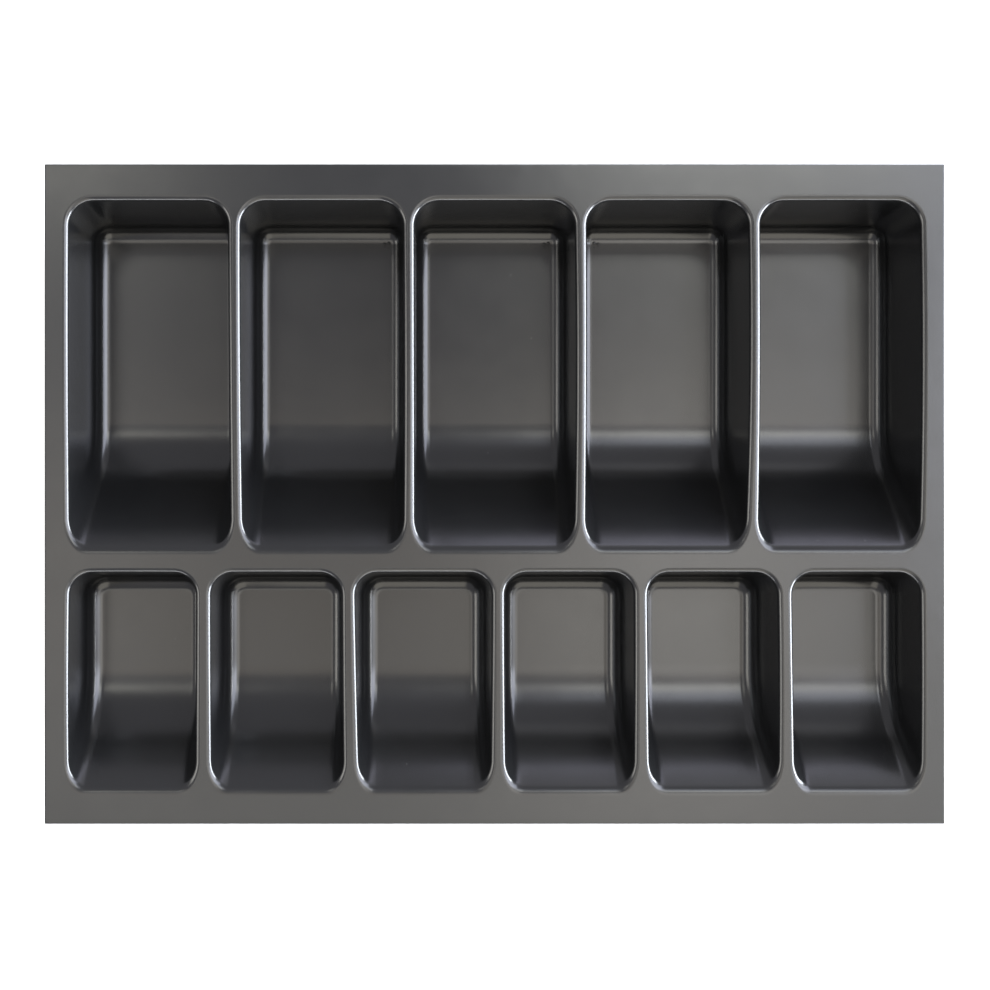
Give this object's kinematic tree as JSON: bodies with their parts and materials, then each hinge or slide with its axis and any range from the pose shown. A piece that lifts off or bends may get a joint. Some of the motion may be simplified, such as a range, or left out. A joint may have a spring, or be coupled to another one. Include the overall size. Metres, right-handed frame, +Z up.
{
  "type": "cash drawer insert",
  "caption": "Flat rectangular vacuum-formed tray with long banknote pockets behind short coin pockets, each with a sloped front ramp, that sorts cash in a drawer.",
  "frame": {"origin": "centre of the tray's outline, at the level that the undersides of the note pockets stand on", "axes": "+X to the right of someone standing at the till, +Y to the rear where the note pockets are, +Z up"},
  "size_m": [0.45, 0.33, 0.0518],
  "materials": {
    "tray_plastic": "semi-gloss anthracite sheet with a faint orange peel"
  },
  "bodies": {
    "root": {"deck": "tray_plastic", "note_pocket_1": "tray_plastic", "note_pocket_2": "tray_plastic", "note_pocket_3": "tray_plastic", "note_pocket_4": "tray_plastic", "note_pocket_5": "tray_plastic", "coin_pocket_1": "tray_plastic", "coin_pocket_2": "tray_plastic", "coin_pocket_3": "tray_plastic", "coin_pocket_4": "tray_plastic", "coin_pocket_5": "tray_plastic", "coin_pocket_6": "tray_plastic"}
  },
  "joints": []
}
